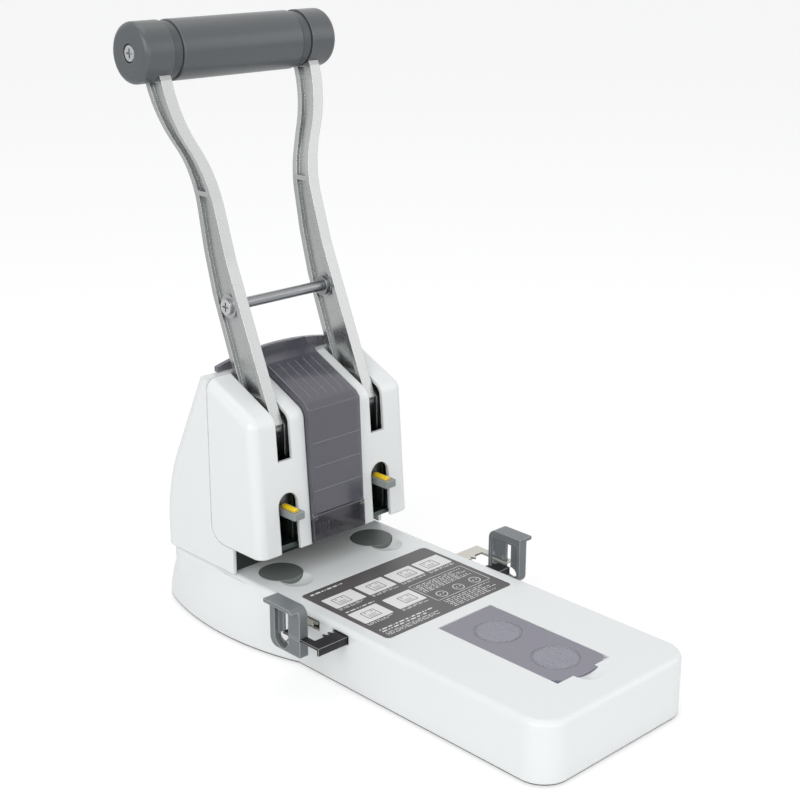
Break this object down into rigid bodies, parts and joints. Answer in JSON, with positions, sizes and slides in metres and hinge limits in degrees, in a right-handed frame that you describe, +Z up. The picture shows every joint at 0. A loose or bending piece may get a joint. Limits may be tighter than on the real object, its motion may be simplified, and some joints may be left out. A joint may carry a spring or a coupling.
{
  "type": "lever hole punch",
  "caption": "Heavy desk hole punch: steel-framed twin heads over a deep throat, long forked lever with cross grip, clear chip bin, geared side guides and spare board store.",
  "frame": {"origin": "centre of the footprint of the whole machine with the lever up, on the surface it stands on", "axes": "+Z up, -Y towards the front of the base where the user stands, +X to the machine's right as seen from its front"},
  "size_m": [0.188, 0.3596, 0.3858],
  "materials": {
    "white_plastic": "smooth moulded gloss",
    "smoky_plastic": "clear smoky moulding",
    "lid_plastic": "translucent satin",
    "guide_plastic": "fine satin",
    "grip_plastic": "fine satin",
    "grip_ring_plastic": "fine satin",
    "arm_metal": "satin silver",
    "plated_steel": "bright plated",
    "frame_steel": "rolled sheet",
    "tool_steel": "ground",
    "dark_plastic": "matt",
    "rack_steel": "yellow-zinc sheet",
    "gear_plastic": "natural",
    "board_plastic": "matt",
    "lock_plastic": "satin grey",
    "mark_plastic": "yellow",
    "label_film": "printed film",
    "foot_rubber": "matt"
  },
  "bodies": {
    "base": {"base_cover": "white_plastic", "base_plate": "frame_steel", "feet": "foot_rubber", "cover_screws": "plated_steel", "frame_rods": "frame_steel", "anvil_plate": "frame_steel", "punch_guide_plate": "frame_steel", "back_stop": "dark_plastic", "rear_housing": "white_plastic", "rear_hood": "smoky_plastic", "pinion_stud": "plated_steel", "rack_tray": "dark_plastic", "rack_tray_screws": "plated_steel", "spare_boards": "board_plastic", "instruction_plate": "label_film", "frame_cheek_outer_left": "frame_steel", "frame_cheek_outer_right": "frame_steel", "frame_cheek_inner_left": "frame_steel", "frame_cheek_inner_right": "frame_steel", "head_casing_left": "white_plastic", "head_casing_right": "white_plastic", "pivot_shaft_left": "tool_steel", "pivot_shaft_right": "tool_steel", "pivot_bushes_left": "dark_plastic", "pivot_bushes_right": "dark_plastic", "return_spring_left": "tool_steel", "return_spring_right": "tool_steel"},
    "lever": {"lever_arm_left": "arm_metal", "lever_arm_right": "arm_metal", "crank_pin_left": "tool_steel", "crank_pin_right": "tool_steel", "tie_rod": "plated_steel", "tie_rod_screws": "plated_steel", "grip_core": "plated_steel", "grip_tube": "grip_plastic", "grip_rings": "grip_ring_plastic", "grip_screws": "plated_steel", "grip_cap_left": "grip_plastic", "grip_cap_right": "grip_plastic"},
    "punch_left": {"ram_left": "tool_steel", "punch_pin_left": "tool_steel"},
    "punch_right": {"ram_right": "tool_steel", "punch_pin_right": "tool_steel"},
    "lock_left": {"punch_lock_left": "lock_plastic", "lock_mark_left": "mark_plastic"},
    "lock_right": {"punch_lock_right": "lock_plastic", "lock_mark_right": "mark_plastic"},
    "chip_bin": {"chip_bin": "smoky_plastic", "chip_door_pin": "plated_steel"},
    "chip_door": {"chip_door": "smoky_plastic"},
    "guide_left": {"rack_left": "rack_steel", "fence_left": "guide_plastic", "fence_screws_left": "plated_steel"},
    "guide_right": {"rack_right": "rack_steel", "fence_right": "guide_plastic", "fence_screws_right": "plated_steel"},
    "pinion": {"pinion": "gear_plastic"},
    "cutting_board_left": {"cutting_board_left": "board_plastic"},
    "cutting_board_right": {"cutting_board_right": "board_plastic"},
    "store_lid": {"store_lid": "lid_plastic"}
  },
  "joints": [
    {"name": "lever_swing", "type": "hinge", "parent": "base", "child": "lever", "pos_m": [0, 0.09315, 0.129], "axis": [1, 0, 0], "range_deg": [0, 70], "stiffness_Nm_per_rad": 0.8, "springref_deg": -11.46},
    {"name": "punch_left_stroke", "type": "slide", "parent": "base", "child": "punch_left", "axis": [0, 0, -1], "range_m": [0, 0.01996], "deforming": ["return_spring_left"]},
    {"name": "punch_right_stroke", "type": "slide", "parent": "base", "child": "punch_right", "axis": [0, 0, -1], "range_m": [0, 0.01996], "deforming": ["return_spring_right"]},
    {"name": "lock_left_pull", "type": "slide", "parent": "punch_left", "child": "lock_left", "axis": [0, -1, 0], "range_m": [0, 0.005]},
    {"name": "lock_right_pull", "type": "slide", "parent": "punch_right", "child": "lock_right", "axis": [0, -1, 0], "range_m": [0, 0.005]},
    {"name": "chip_bin_slide", "type": "slide", "parent": "base", "child": "chip_bin", "axis": [0, -1, 0], "range_m": [0, 0.06]},
    {"name": "chip_door_hinge", "type": "hinge", "parent": "chip_bin", "child": "chip_door", "pos_m": [0, 0.06012, 0.0763], "axis": [-1, 0, 0], "range_deg": [0, 75]},
    {"name": "guide_left_slide", "type": "slide", "parent": "base", "child": "guide_left", "axis": [-1, 0, 0], "range_m": [0, 0.066]},
    {"name": "guide_right_slide", "type": "slide", "parent": "base", "child": "guide_right", "axis": [1, 0, 0], "range_m": [0, 0.066]},
    {"name": "pinion_turn", "type": "hinge", "parent": "base", "child": "pinion", "pos_m": [0, -0.00195, 0.0356], "axis": [0, 0, -1], "range_deg": [0, 467]},
    {"name": "cutting_board_left_turn", "type": "hinge", "parent": "base", "child": "cutting_board_left", "pos_m": [-0.04, 0.07115, 0.0377], "axis": [0, 0, 1], "continuous": true},
    {"name": "cutting_board_right_turn", "type": "hinge", "parent": "base", "child": "cutting_board_right", "pos_m": [0.04, 0.07115, 0.0377], "axis": [0, 0, 1], "continuous": true},
    {"name": "store_lid_hinge", "type": "hinge", "parent": "base", "child": "store_lid", "pos_m": [0, -0.05765, 0.0386], "axis": [-1, 0, 0], "range_deg": [0, 100]}
  ],
  "couplings": [
    {"joint": "punch_left_stroke", "follows": "lever_swing", "m_per_rad": 0.016338},
    {"joint": "punch_right_stroke", "follows": "lever_swing", "m_per_rad": 0.016338},
    {"joint": "guide_right_slide", "follows": "guide_left_slide", "ratio": 1},
    {"joint": "pinion_turn", "follows": "guide_left_slide", "rad_per_m": 123.46}
  ]
}
